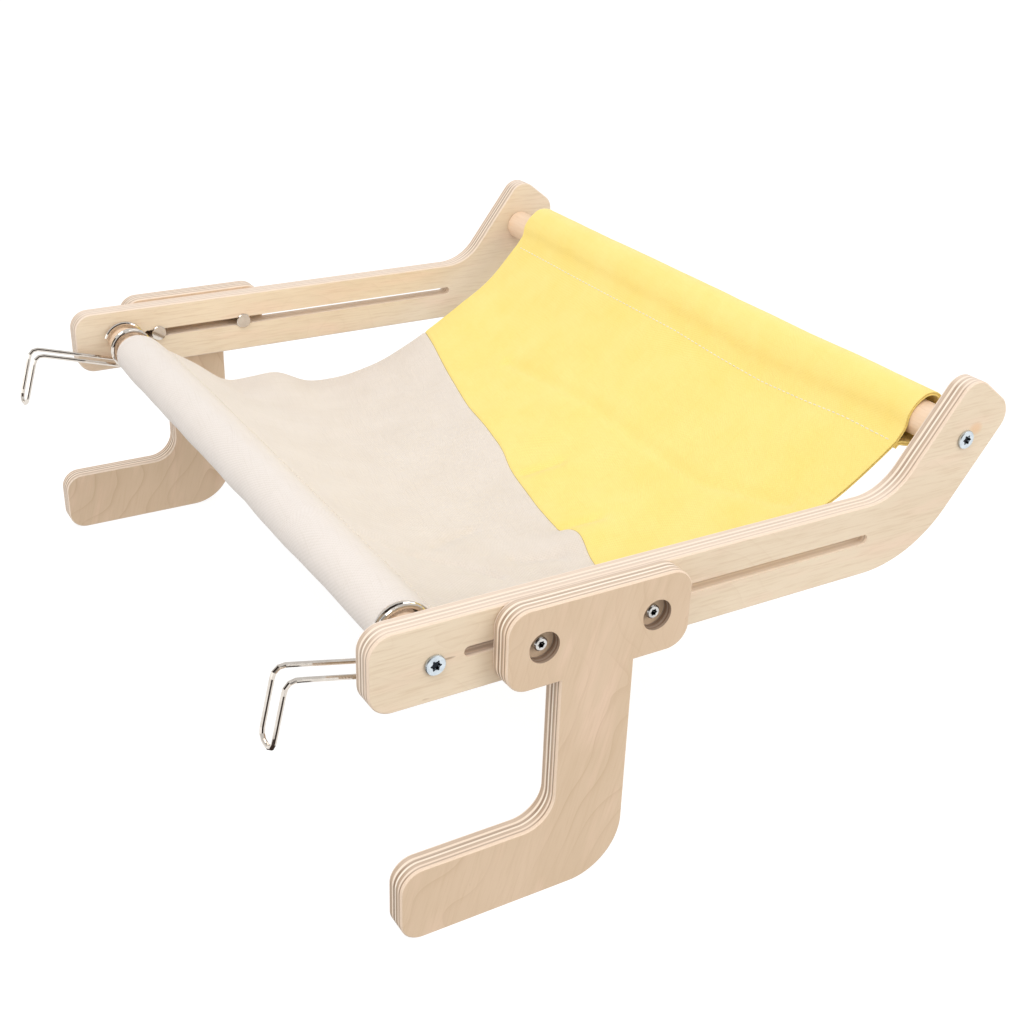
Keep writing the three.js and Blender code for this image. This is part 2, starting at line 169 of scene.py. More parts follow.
class Graph:
    """A material's node tree. Each method adds one node and returns its output socket."""

    def __init__(self, name):
        self.material = bpy.data.materials.new(name)
        self.material.use_nodes = True
        self.nodes = self.material.node_tree.nodes
        self.links = self.material.node_tree.links
        self.shader = self.nodes["Principled BSDF"]

    def node(self, kind, inputs=(), **settings):
        made = self.nodes.new("ShaderNode" + kind)
        for key, value in settings.items():
            setattr(made, key, value)
        for key, value in dict(inputs).items():
            self.put(made.inputs[key], value)
        return made

    def put(self, socket, value):
        if isinstance(value, bpy.types.NodeSocket):
            self.links.new(value, socket)
        else:
            socket.default_value = value

    def shade(self, **inputs):
        for key, value in inputs.items():
            self.put(self.shader.inputs[key.replace("_", " ")], value)

    def place(self):
        return self.node("TexCoord").outputs["Object"]

    def cloth_place(self):
        return self.node("UVMap", uv_map="cloth").outputs["UV"]

    def stretch(self, vector, scale, turn=(0, 0, 0)):
        inputs = {"Vector": vector, "Scale": scale, "Rotation": turn}
        return self.node("Mapping", inputs).outputs[0]

    def noise(self, vector, scale, detail=2.0, rough=0.5, distortion=0.0):
        inputs = {"Vector": vector, "Scale": scale, "Detail": detail,
                  "Roughness": rough, "Distortion": distortion}
        return self.node("TexNoise", inputs).outputs["Fac"]

    def wave(self, vector, scale, distortion):
        inputs = {"Vector": vector, "Scale": scale, "Distortion": distortion}
        return self.node("TexWave", inputs, bands_direction="DIAGONAL").outputs["Fac"]

    def math(self, operation, a, b=0.0):
        made = self.node("Math", operation=operation)
        self.put(made.inputs[0], a)
        self.put(made.inputs[1], b)
        return made.outputs[0]

    def spread(self, value, low, high, to_low=0.0, to_high=1.0):
        inputs = {"Value": value, "From Min": low, "From Max": high,
                  "To Min": to_low, "To Max": to_high}
        return self.node("MapRange", inputs).outputs[0]

    def mix(self, factor, a, b):
        made = self.node("Mix", data_type="RGBA")
        self.put(made.inputs["Factor"], factor)
        self.put(made.inputs[6], a)
        self.put(made.inputs[7], b)
        return made.outputs[2]

    def ramp(self, factor, stops):
        made = self.node("ValToRGB", {"Fac": factor})
        ramp = made.color_ramp
        while len(ramp.elements) < len(stops):
            ramp.elements.new(1.0)
        for element, (position, color) in zip(ramp.elements, stops):
            element.position = position
            element.color = color
        return made.outputs[0]

    def axes(self, vector):
        return self.node("SeparateXYZ", {"Vector": vector}).outputs

    def square(self, across, up):
        """The square of the distance that these two offsets make."""
        return self.math("ADD", self.math("MULTIPLY", across, across), self.math("MULTIPLY", up, up))

    def within(self, x, z, centre_x, centre_z, radius):
        """1 inside a circle round the centre, and 0 outside it."""
        across, up = self.math("SUBTRACT", x, centre_x), self.math("SUBTRACT", z, centre_z)
        return self.math("LESS_THAN", self.square(across, up), radius**2)

    def star(self, x, z, radius):
        """1 inside a star with six rounded points in the middle of a square, and 0 outside it."""
        across, up = self.math("SUBTRACT", x, 0.5), self.math("SUBTRACT", z, 0.5)
        turns = self.math("COSINE", self.math("MULTIPLY", self.math("ARCTAN2", up, across), 6.0))
        reach = self.math("ADD", self.math("MULTIPLY", turns, 0.2 * radius), 0.8 * radius)
        return self.math("LESS_THAN", self.square(across, up), self.math("MULTIPLY", reach, reach))

    def bump(self, height, distance, strength):
        inputs = {"Height": height, "Distance": distance, "Strength": strength}
        return self.node("Bump", inputs).outputs[0]


def srgb(red, green, blue):
    """A colour given in 0 to 255, as the linear RGBA that nodes take."""
    def linear(value):
        value /= 255
        return value / 12.92 if value <= 0.04045 else ((value + 0.055) / 1.055) ** 2.4
    return (linear(red), linear(green), linear(blue), 1.0)


# Wood

# Colours of the plies' edges, from the outer face to the inner one
PLY_EDGE = [
    (0.00, srgb(232, 208, 184)), (0.11, srgb(236, 212, 188)), (0.13, srgb(158, 130, 106)),
    (0.18, srgb(176, 150, 126)), (0.20, srgb(242, 222, 202)), (0.27, srgb(240, 220, 199)),
    (0.29, srgb(190, 164, 140)), (0.41, srgb(178, 152, 128)), (0.43, srgb(255, 242, 226)),
    (0.50, srgb(252, 238, 220)), (0.52, srgb(148, 121, 98)), (0.62, srgb(166, 140, 116)),
    (0.65, srgb(252, 236, 218)), (0.73, srgb(246, 228, 208)), (0.76, srgb(186, 160, 136)),
    (0.86, srgb(198, 174, 150)), (0.88, srgb(160, 133, 111)), (0.92, srgb(232, 213, 194)),
]

# Veneer: its lighter and darker colour, the grain's rotation and the strength of its rings
RAIL_VENEER = (srgb(232, 214, 188), srgb(225, 205, 178), (0, 0, 0), 0.12)
LEG_VENEER = (srgb(217, 191, 163), srgb(209, 183, 153), (0, math.radians(74), 0), 0.5)

# Flaws in the right rail: a knot's stain beside the back screw and a short split behind the front
# one, as x, z, length and height, and their colour
RAIL_MARKS = [(379.5 * MM, 60.5 * MM, 12 * MM, 9 * MM, srgb(230, 184, 138)),
              (8.0 * MM, 1.2 * MM, 9 * MM, 1.6 * MM, srgb(140, 108, 80))]


def plywood(name, outer_face, veneer_look, pale_and_top_light, cut_edges, marks=()):
    """Plywood in the XZ plane: veneer on the two faces, and the edges of the plies all round.
    outer_face is the distance from the middle of the perch to the plate's outer face; the pair
    after the veneer's look is how much paler the sanded edges are all round, and then how much
    paler the edges that face up are, the extra being painted light from above; cut_edges colours
    the walls of holes, with painted light in the rail's slot and burn and painted shade in the
    leg's bolt holes; and marks are flaws in the right plate's outer face."""
    graph = Graph(name)
    place = graph.place()
    facing = graph.axes(graph.node("NewGeometry").outputs["Normal"])
    on_face = graph.spread(graph.math("ABSOLUTE", facing[1]), 0.75, 0.9)

    edge, fibres = ply_edges(graph, place, outer_face)
    # Edges that face up are painted paler than the rest: painted light from above.
    edge = graph.mix(graph.spread(facing[2], 0.7, 0.97, *pale_and_top_light), edge, srgb(236, 218, 201))
    edge = cut_edges(graph, edge, place)
    face, fine = veneer(graph, place, *veneer_look)
    face = marked(graph, face, place, outer_face, marks)

    graph.shade(
        Base_Color=graph.mix(on_face, edge, face),
        Roughness=graph.spread(fine, 0.3, 0.7, 0.5, 0.64),
        Specular_IOR_Level=0.3,
        Normal=graph.bump(graph.math("ADD", fine, fibres), 0.05 * MM, 0.5),
    )
    return graph.material


def ply_edges(graph, place, outer_face):
    """The colour of the plies' edges, and the fibres in them."""
    off_middle = graph.math("ABSOLUTE", graph.axes(place)[1])
    depth = graph.math("SUBTRACT", outer_face, off_middle)
    wobble = graph.noise(graph.stretch(place, (9, 0.01, 9)), 3.0, 3.0)
    depth = graph.math("ADD", depth, graph.spread(wobble, 0.0, 1.0, -0.3 * MM, 0.3 * MM))
    plies = graph.ramp(graph.math("DIVIDE", depth, PLY_THICKNESS), PLY_EDGE)
    fibres = graph.noise(graph.stretch(place, (70, 1500, 70)), 9.0, 4.0, 0.7)
    patches = graph.noise(graph.stretch(place, (12, 260, 12)), 3.0, 3.0, 0.6)
    edge = graph.mix(graph.spread(fibres, 0.45, 0.75, 0.0, 0.4), plies, srgb(168, 140, 118))
    edge = graph.mix(graph.spread(patches, 0.5, 0.8, 0.0, 0.3), edge, srgb(240, 222, 203))
    return edge, fibres


def veneer(graph, place, light, dark, turn, figure):
    """The colour of a plate's faces, and its fine grain. turn is the grain's rotation, and
    figure is how strongly the growth rings show."""
    place = graph.stretch(place, (1, 1, 1), turn)
    bend = graph.noise(graph.stretch(place, (6, 1, 7)), 1.0, 2.5, 0.45, 0.6)
    rise = graph.axes(place)[2]
    rings = graph.math("ADD", graph.math("MULTIPLY", rise, 50.0), graph.math("MULTIPLY", bend, 11.0))
    ring = graph.math("POWER", graph.math("FRACT", rings), 10.0)
    strength = graph.noise(graph.stretch(place, (8, 1, 14)), 1.0, 1.0)
    ring = graph.math("MULTIPLY", ring, graph.spread(strength, 0.35, 0.65, 0.15, 1.0))
    clouds = graph.noise(graph.stretch(place, (9, 1, 26)), 1.0, 3.0, 0.5)
    fine = graph.noise(graph.stretch(place, (45, 1, 700)), 1.0, 4.0, 0.6)
    flecks = graph.noise(graph.stretch(place, (90, 1, 420)), 1.0, 1.0, 0.3)
    blush = graph.noise(graph.stretch(place, (14, 1, 60)), 1.3, 2.0, 0.5)
    tone = graph.mix(graph.spread(clouds, 0.3, 0.7), light, dark)
    tone = graph.mix(graph.spread(blush, 0.52, 0.75, 0.0, 0.35), tone, srgb(238, 206, 184))
    tone = graph.mix(graph.math("MULTIPLY", ring, figure), tone, srgb(190, 158, 126))
    tone = graph.mix(graph.spread(fine, 0.48, 0.75, 0.0, 0.5), tone, srgb(204, 176, 144))
    tone = graph.mix(graph.spread(flecks, 0.8, 0.85, 0.0, 0.4), tone, srgb(176, 142, 110))
    return tone, fine


def marked(graph, tone, place, outer_face, marks):
    """The colour of a face with soft oval flaws in it, on the right plate's outer side only."""
    x, y, z = graph.axes(place)
    outside = graph.math("LESS_THAN", y, 1 * MM - outer_face)
    for mark_x, mark_z, length, height, color in marks:
        across = graph.math("DIVIDE", graph.math("SUBTRACT", x, mark_x), length)
        up = graph.math("DIVIDE", graph.math("SUBTRACT", z, mark_z), height)
        inside = graph.spread(graph.square(across, up), 0.03, 0.3, 0.6, 0.0)
        tone = graph.mix(graph.math("MULTIPLY", inside, outside), tone, color)
    return tone


def slot_painted_light(graph, edge, place):
    """A rail's edge colour, but a pale tan inside its slot, except at its front end: painted light on
    walls that lie in shade.
    """
    x, _, z = graph.axes(place)
    off_line = graph.math("ABSOLUTE", graph.math("SUBTRACT", z, SLOT_Z))
    inside = graph.math("LESS_THAN", off_line, SLOT_HALF_HEIGHT)
    inside = graph.math("MULTIPLY", inside, graph.math("GREATER_THAN", x, SLOT_X[0]))
    inside = graph.math("MULTIPLY", inside, graph.math("LESS_THAN", x, SLOT_X[1]))
    inside = graph.math("MULTIPLY", inside, graph.spread(x, 30 * MM, 60 * MM, 0.0, 0.5))
    return graph.mix(inside, edge, srgb(246, 230, 208))


def bore_burn_and_shade(graph, edge, place):
    """A leg's edge colour, but dark brown inside its bolt holes: partly burnt by the cutter, partly
    painted shade in the holes.
    """
    x, y, z = graph.axes(place)
    on_left = graph.math("GREATER_THAN", y, 0.0)
    x = graph.math("ADD", x, graph.math("MULTIPLY", on_left, LEFT_LEG_AHEAD))
    inside = 0.0
    for bolt_x in LEG_BOLTS_X:
        near = graph.within(x, z, bolt_x, SLOT_Z, BORE_RADIUS)
        inside = graph.math("MAXIMUM", near, inside)
    return graph.mix(graph.math("MULTIPLY", inside, 0.65), edge, srgb(92, 64, 44))


def turned_wood(name):
    """A sanded hardwood dowel, its grain along Y."""
    graph = Graph(name)
    place = graph.place()
    streaks = graph.noise(graph.stretch(place, (90, 2.5, 90)), 3.0, 4.0, 0.6)
    pores = graph.noise(graph.stretch(place, (500, 30, 500)), 3.0, 2.0)
    tone = graph.mix(graph.spread(streaks, 0.3, 0.7), srgb(242, 216, 190), srgb(234, 204, 174))
    tone = graph.mix(graph.spread(pores, 0.6, 0.8, 0.0, 0.4), tone, srgb(212, 176, 142))
    graph.shade(
        Base_Color=tone,
        Roughness=0.55,
        Normal=graph.bump(pores, 0.05 * MM, 0.4),
    )
    return graph.material


# Metal


def metal(name, light, dark, roughness, mottle_scale, socket=0.0, scratched=0.3):
    """Plated metal, finely scratched. socket is the radius of a screw's star-shaped socket, as a
    share of its head's width: inside it the metal is painted dark, as painted shade in the socket.
    scratched is how deep the scratches are."""
    graph = Graph(name)
    place = graph.place()
    mottle = graph.noise(place, mottle_scale, 4.0, 0.6)
    scratches = graph.noise(graph.stretch(place, (1, 12, 12)), 600.0, 3.0, 0.6)
    tone = graph.mix(graph.spread(mottle, 0.35, 0.7), light, dark)
    if socket:
        x, _, z = graph.axes(graph.node("TexCoord").outputs["Generated"])
        # The dark star is painted shade inside the screw's socket.
        tone = graph.mix(graph.star(x, z, socket), tone, srgb(38, 42, 47))
    graph.shade(
        Base_Color=tone,
        Metallic=1.0,
        Roughness=graph.spread(scratches, 0.3, 0.7, roughness * 0.75, roughness * 1.3),
        Normal=graph.bump(scratches, 0.01 * MM, scratched),
    )
    return graph.material


# Cloth


def canvas(name, light, dark, yarn, pitch, slub, roll=None):
    """Plain-weave cloth: threads both ways, thicker ones here and there, and soft blotches. yarn
    is the threads' darker colour, pitch is from one thread to the next, slub is how much the
    thick ones show, and roll is the colour that the cloth tends to round the front dowel."""
    graph = Graph(name)
    place = graph.cloth_place()
    _, from_seam, _ = graph.axes(place)
    bent = graph.noise(place, 45.0, 2.0)
    wander = graph.node("VectorMath", {0: place}, operation="ADD")
    graph.put(wander.inputs[1], graph.spread(bent, 0.0, 1.0, -0.6 * MM, 0.6 * MM))
    across, along, _ = graph.axes(wander.outputs[0])
    turns = math.pi / pitch
    warp = graph.math("SINE", graph.math("MULTIPLY", across, turns))
    weft = graph.math("SINE", graph.math("MULTIPLY", along, turns))
    woven = graph.math("MULTIPLY", warp, weft)
    slub_warp = graph.noise(graph.stretch(place, (900, 25, 1)), 1.0, 3.0, 0.6)
    slub_weft = graph.noise(graph.stretch(place, (25, 900, 1)), 1.0, 3.0, 0.6)
    slubs = graph.math("MAXIMUM", slub_warp, slub_weft)
    blotch = graph.noise(place, 22.0, 4.0, 0.6)

    height = graph.math("ADD", graph.math("MULTIPLY", woven, 0.35), graph.math("MULTIPLY", slubs, 1.2))
    tone = graph.mix(graph.spread(blotch, 0.3, 0.7), light, dark)
    if roll:
        x = graph.axes(graph.place())[0]
        tone = graph.mix(graph.spread(x, 16 * MM, 26 * MM, 0.8, 0.0), tone, roll)
    tone = graph.mix(graph.spread(woven, 0.1, 0.9, 0.0, 0.24), tone, yarn)
    tone = graph.mix(graph.spread(slubs, 0.55, 0.8, 0.0, slub), tone, yarn)
    # A dark brown line along the seam: painted shade in the seam's groove, and partly the seam's
    # thread.
    tone = graph.mix(graph.spread(from_seam, 0.3 * MM, 0.9 * MM, 0.8, 0.0), tone, srgb(150, 126, 96))
    graph.shade(
        Base_Color=tone,
        Roughness=0.92,
        Specular_IOR_Level=0.15,
        Sheen_Weight=0.25,
        Sheen_Roughness=0.6,
        Normal=graph.bump(height, 0.25 * MM, 0.8),
    )
    return graph.material


def thread(name, color):
    """Twisted sewing thread."""
    graph = Graph(name)
    twist = graph.wave(graph.place(), 1400.0, 1.0)
    dark = tuple(0.7 * value for value in color[:3]) + (1.0,)
    graph.shade(
        Base_Color=graph.mix(graph.spread(twist, 0.0, 1.0, 0.0, 0.5), color, dark),
        Roughness=0.8,
        Normal=graph.bump(twist, 0.1 * MM, 0.5),
    )
    return graph.material


# Cloth shape


def smooth_line(points, steps=12):
    """Catmull-Rom curve through the points, with the ends kept."""
    points = np.asarray(points, float)
    padded = np.vstack([2 * points[0] - points[1], points, 2 * points[-1] - points[-2]])
    t = np.linspace(0, 1, steps, endpoint=False)[:, None]
    pieces = []
    for p0, p1, p2, p3 in zip(padded, padded[1:], padded[2:], padded[3:]):
        pieces.append(0.5 * (2 * p1 + (p2 - p0) * t + (2 * p0 - 5 * p1 + 4 * p2 - p3) * t**2
                             + (3 * p1 - p0 - 3 * p2 + p3) * t**3))
    return np.vstack([*pieces, points[-1:]])


def resample(line, count, seam_at_end):
    """The same line with evenly spaced points, closer together next to the seam."""
    reach = np.concatenate([[0], np.cumsum(np.linalg.norm(np.diff(line, axis=0), axis=1))])
    from_seam = np.array(SEAM_ROWS) * MM
    even = np.linspace(from_seam[-1] + GRID_ALONG, reach[-1], count - len(from_seam))
    wanted = np.concatenate([from_seam, even])
    if seam_at_end:
        wanted = (reach[-1] - wanted)[::-1]
    return np.stack([np.interp(wanted, reach, line[:, k]) for k in range(line.shape[1])], axis=1)


def sag_height(x):
    share = (x - FRONT_CORNER[0]) / (BACK_CORNER[0] - FRONT_CORNER[0])
    chord = FRONT_CORNER[1] + (BACK_CORNER[1] - FRONT_CORNER[1]) * share
    return chord - 4 * CLOTH_SAG * share * (1 - share)


def polar(axis, profile, slack, slack_angle):
    """Points round a dowel, from (angle, distance in mm) pairs. The loop is looser by slack mm
    on the side at slack_angle."""
    points = []
    for degrees, distance in profile:
        angle = math.radians(degrees)
        distance += slack * max(0, math.cos(angle - math.radians(slack_angle))) ** 2
        points.append(axis + np.array((math.cos(angle), math.sin(angle))) * distance * MM)
    return points


def seam_x(across):
    line = smooth_line(SEAM)
    return np.interp(across, line[:, 0], line[:, 1]) * MM


def sheet_line(start, end, count=40):
    x = np.linspace(start, end, count)
    return np.stack([x, sag_height(x)], axis=1)


def front_section(across):
    """The front cloth's path at one place across: its tail, round the dowel, and to the seam."""
    tail = sheet_line(FRONT_CORNER[0] + SLEEVE_TAIL, FRONT_CORNER[0] - 0.5 * MM, 3)
    tail[:, 1] -= CLOTH_THICKNESS * 1.1
    slack = 0.7 * (1 + across) + 0.9 * noise.noise(Vector((across * 6.5, 0.3, 0.9)))
    loop = smooth_line([*tail, *polar(FRONT_AXIS, FRONT_SLEEVE, slack, 215), FRONT_CORNER])
    sheet = sheet_line(FRONT_CORNER[0], seam_x(across) - SEAM_GAP / 2)
    return np.vstack([loop, sheet[1:]])


def back_section(across):
    """The back cloth's path at one place across: from the seam, round the dowel, to its tail."""
    tail = sheet_line(BACK_CORNER[0] + 0.5 * MM, BACK_CORNER[0] - SLEEVE_TAIL, 3)
    tail += np.array((1.0, -1.0)) * CLOTH_THICKNESS * 0.8
    slack = 2.1 * (1 + across) + 0.5 * noise.noise(Vector((across * 4.5, 2.3, 0.4)))
    loop = smooth_line([BACK_CORNER, *polar(BACK_AXIS, BACK_SLEEVE, slack, 50), *tail])
    sheet = sheet_line(seam_x(across) + SEAM_GAP / 2, BACK_CORNER[0])
    return np.vstack([sheet[:-1], loop])


def bell(value, centre, width):
    return math.exp(-(((value - centre) / width) ** 2))


def off_line(x, y, line):
    """The distance from a point to a line of straight stretches."""
    nearest = math.inf
    for (x0, y0), (x1, y1) in zip(line, line[1:]):
        along = ((x - x0) * (x1 - x0) + (y - y0) * (y1 - y0)) / ((x1 - x0) ** 2 + (y1 - y0) ** 2)
        along = min(max(along, 0), 1)
        nearest = min(nearest, math.hypot(x - x0 - along * (x1 - x0), y - y0 - along * (y1 - y0)))
    return nearest


def cloth_ripple(x, y):
    """How far the sheet stands above its smooth sag at a place between the sleeves."""
    from_ends = min(max((x - 0.03) / 0.05, 0), 1) * min(max((0.345 - x) / 0.05, 0), 1)
    shape = 1.8 * noise.noise(Vector((x * 11, y * 9, 3.7))) + noise.noise(Vector((x * 30, y * 26, 8.1)))
    for height, swell_x, spread_x, swell_y, spread_y in SWELLS:
        shape += height * bell(x, swell_x, spread_x) * bell(y, swell_y, spread_y)
    for depth, width, line in CREASES:
        shape -= depth * bell(off_line(x / MM, y / MM, line), 0, width)
    return (from_ends * shape + back_lift(x, y)) * MM


def back_lift(x, y):
    """How far the line of stitches at the back stands above its straight course."""
    return bell(x, BACK_CORNER[0], 20 * MM) * np.interp(y / MM, *zip(*BACK_STITCH_LIFT))


def cloth_surface(section, along_count, seam_at_end):
    """A grid of points on the cloth's middle, [across, along], and the cloth's own coordinates:
    the distance across from its middle, and the distance from the seam."""
    points = np.zeros((GRID_ACROSS, along_count, 3))
    flat = np.zeros((GRID_ACROSS, along_count, 2))
    for j in range(GRID_ACROSS):
        across = -1 + 2 * j / (GRID_ACROSS - 1)
        line = resample(section(across), along_count, seam_at_end)
        share = np.clip((line[:, 0] - FRONT_CORNER[0]) / (BACK_CORNER[0] - FRONT_CORNER[0]), 0, 1)
        right = CLOTH_RIGHT_FRONT + (CLOTH_RIGHT_BACK - CLOTH_RIGHT_FRONT) * share
        half = (CLOTH_LEFT - right) / 2
        pull = np.interp(across, (-1, 1), CLOTH_PULL_IN)
        y = CLOTH_LEFT - half + across * half + pull * np.sin(math.pi * share)
        points[j] = np.stack([line[:, 0], y, line[:, 1]], axis=1)
        reach = np.cumsum(np.linalg.norm(np.diff(line, axis=0, prepend=line[:1]), axis=1))
        flat[j] = np.stack([across * half, reach], axis=1)
    if seam_at_end:
        flat[:, :, 1] = flat[:, -1:, 1] - flat[:, :, 1]
    on_top = points[:, :, 2] < sag_height(points[:, :, 0]) + RIPPLE_REACH
    for j, i in np.argwhere(on_top):
        points[j, i, 2] += cloth_ripple(points[j, i, 0], points[j, i, 1])
    points[:, :, 2] -= SEAM_GROOVE * np.exp(-((flat[:, :, 1] / SEAM_GROOVE_WIDTH) ** 2))
    return points, flat


def grid_normals(points):
    along = np.gradient(points, axis=1)
    across = np.gradient(points, axis=0)
    normals = np.cross(along, across)
    return normals / np.linalg.norm(normals, axis=2, keepdims=True)


def edge_lip(points, normals, edge, inward):
    """The rounded double lip along one side edge, from the top layer to the bottom one."""
    side = points[edge] - points[edge + inward]
    side /= np.linalg.norm(side, axis=1, keepdims=True)
    half = CLOTH_THICKNESS / 2
    return [points[edge] + side * out * half + normals[edge] * up * half for out, up in EDGE_LIPS]


def end_faces(rows, first):
    """Indices of the faces that close one end of a tube whose rows are paired across row first."""
    faces = []
    for step in range(rows // 2):
        ring = [first + step, first + step + 1, first - step - 1, first - step]
        faces.append(list(dict.fromkeys(index % rows for index in ring)))
    return faces


def cloth_mesh(name, points, flat, normals):
    """A closed sheet of two layers with a lip along each side edge, and its UV map in metres."""
    half = CLOTH_THICKNESS / 2
    left, right = edge_lip(points, normals, -1, -1), edge_lip(points, normals, 0, 1)
    top, bottom = list(points + normals * half), list(points - normals * half)
    tube = np.array(top[1:-1] + left + bottom[-2:0:-1] + right[::-1])
    flat_tube = np.array(list(flat[1:-1]) + [flat[-1]] * len(left)
                         + list(flat[-2:0:-1]) + [flat[0]] * len(right))
    rows, count = tube.shape[:2]
    faces = []
    for j in range(rows):
        k = (j + 1) % rows
        for i in range(count - 1):
            faces.append((j * count + i, j * count + i + 1, k * count + i + 1, k * count + i))
    for i in (0, count - 1):
        ends = end_faces(rows, rows - 1 - len(right) // 2)
        faces.extend([j * count + i for j in face] for face in ends)

    mesh = bpy.data.meshes.new(name)
    mesh.from_pydata(tube.reshape(-1, 3).tolist(), [], faces)
    uv = mesh.uv_layers.new(name="cloth")
    coordinates = flat_tube.reshape(-1, 2)
    for corner in mesh.loops:
        uv.data[corner.index].uv = coordinates[corner.vertex_index]
    shape = bmesh.new()
    shape.from_mesh(mesh)
    bmesh.ops.recalc_face_normals(shape, faces=shape.faces)
    shape.to_mesh(mesh)
    shape.free()
    return mesh


def add_piece(name, mesh, material, sharp_angle=60):
    mesh.materials.append(material)
    piece = bpy.data.objects.new(name, mesh)
    bpy.context.scene.collection.objects.link(piece)
    smooth(piece, sharp_angle)
    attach(piece, "frame")
    return piece


def smooth(piece, sharp_angle):
    bpy.context.view_layer.objects.active = piece
    piece.select_set(True)
    bpy.ops.object.shade_smooth_by_angle(angle=math.radians(sharp_angle))
    piece.select_set(False)


def stitch_rings(shape, start, at):
    """The rings of points of one stitch. at gives the place on the cloth, the direction out of it
    and the direction ahead, at a distance along the row."""
    rings = []
    for share, width in STITCH_PROFILE:
        centre, up, ahead = at(start + share * STITCH_LENGTH)
        side = np.cross(ahead, up)
        side /= np.linalg.norm(side)
        centre = centre + up * (width - 1) * STITCH_RADIUS
        ring = []
        for k in range(STITCH_SIDES):
            angle = 2 * math.pi * k / STITCH_SIDES
            around = side * math.cos(angle) + up * math.sin(angle)
            ring.append(shape.verts.new(centre + around * width * STITCH_RADIUS))
        rings.append(ring)
    return rings


def stitch_mesh(name, path, normals):
    """A row of short stitches along a path of points on the cloth's surface."""
    shape = bmesh.new()
    steps = np.linalg.norm(np.diff(path, axis=0), axis=1)
    reach = np.concatenate([[0], np.cumsum(steps)])

    def along(distance, values):
        return np.array([np.interp(distance, reach, values[:, k]) for k in range(3)])

    def at(distance):
        centre = along(distance, path)
        return centre, along(distance, normals), along(distance + 1 * MM, path) - centre

    start = STITCH_MARGIN
    while start + STITCH_LENGTH < reach[-1] - STITCH_MARGIN:
        rings = stitch_rings(shape, start, at)
        for one, other in zip(rings, rings[1:]):
            for k in range(STITCH_SIDES):
                n = (k + 1) % STITCH_SIDES
                shape.faces.new((one[k], one[n], other[n], other[k]))
        shape.faces.new(rings[0][::-1])
        shape.faces.new(rings[-1])
        start += STITCH_PITCH
    bmesh.ops.recalc_face_normals(shape, faces=shape.faces)
    mesh = bpy.data.meshes.new(name)
    shape.to_mesh(mesh)
    shape.free()
    return mesh


def across_line(points, normals, flat, x):
    """Where the sheet crosses the line at x, on each row of points, with the normals there."""
    path, up = [], []
    for row, row_normals, from_seam in zip(points, normals, flat[:, :, 1]):
        outward = np.argsort(from_seam)
        passed = (row[outward, 0] - x) * (row[outward[0], 0] - x) < 0
        after = np.argmax(passed)
        one, other = outward[after - 1], outward[after]
        share = (x - row[one, 0]) / (row[other, 0] - row[one, 0])
        path.append(row[one] + (row[other] - row[one]) * share)
        up.append(row_normals[one])
    return np.array(path), np.array(up)


def sleeve_stitches(name, points, normals, flat, x, material):
    """The row of stitches that closes a sleeve, along the line at x."""
    path, up = across_line(points[1:-1], normals[1:-1], flat[1:-1], x)
    path += up * (CLOTH_THICKNESS / 2 + 0.1 * MM)
    return add_piece(name, stitch_mesh(name, path, up), material, 80)


# Stage


def add_plane(name, width, height, location, aim, material):
    """A flat rectangle that faces a point, marked as not part of the object."""
    mesh = bpy.data.meshes.new(name)
    x, y = width / 2, height / 2
    corners = [(-x, -y, 0), (x, -y, 0), (x, y, 0), (-x, y, 0)]
    mesh.from_pydata(corners, [], [(0, 1, 2, 3)])
    mesh.materials.append(material)
    plane = bpy.data.objects.new(name, mesh)
    plane.location = location
    plane.rotation_euler = (Vector(aim) - plane.location).to_track_quat("Z", "Y").to_euler()
    bpy.context.scene.collection.objects.link(plane)
    plane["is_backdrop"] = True
    return plane


def add_floor():
    """A pale floor, lit a little from below so that shadows on it stay faint."""
    graph = Graph("floor_paint")
    grain = graph.noise(graph.place(), 2.0, 2.0)
    graph.shade(
        Base_Color=graph.mix(grain, (0.24, 0.24, 0.24, 1), (0.26, 0.26, 0.26, 1)),
        Roughness=0.95,
        Specular_IOR_Level=0.1,
        Emission_Color=(1.0, 1.0, 1.0, 1.0),
        Emission_Strength=0.85,
    )
    under = (0, 0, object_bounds()[0][2] - FLOOR_GAP)
    floor = add_plane("floor", FLOOR_SIZE, FLOOR_SIZE, under, (0, 0, 1), graph.material)
    floor.visible_diffuse = False


def add_backdrop():
    """A dome as pale as the floor, which only the camera sees."""
    graph = Graph("backdrop_paint")
    graph.shade(Base_Color=(0, 0, 0, 1), Emission_Color=(1, 1, 1, 1), Emission_Strength=1.0)
    shape = bmesh.new()
    bmesh.ops.create_uvsphere(shape, u_segments=48, v_segments=24, radius=BACKDROP_RADIUS)
    mesh = bpy.data.meshes.new("backdrop")
    shape.to_mesh(mesh)
    shape.free()
    mesh.materials.append(graph.material)
    dome = bpy.data.objects.new("backdrop", mesh)
    bpy.context.scene.collection.objects.link(dome)
    dome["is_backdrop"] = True
    for kind in ("diffuse", "glossy", "transmission", "shadow"):
        setattr(dome, "visible_" + kind, False)


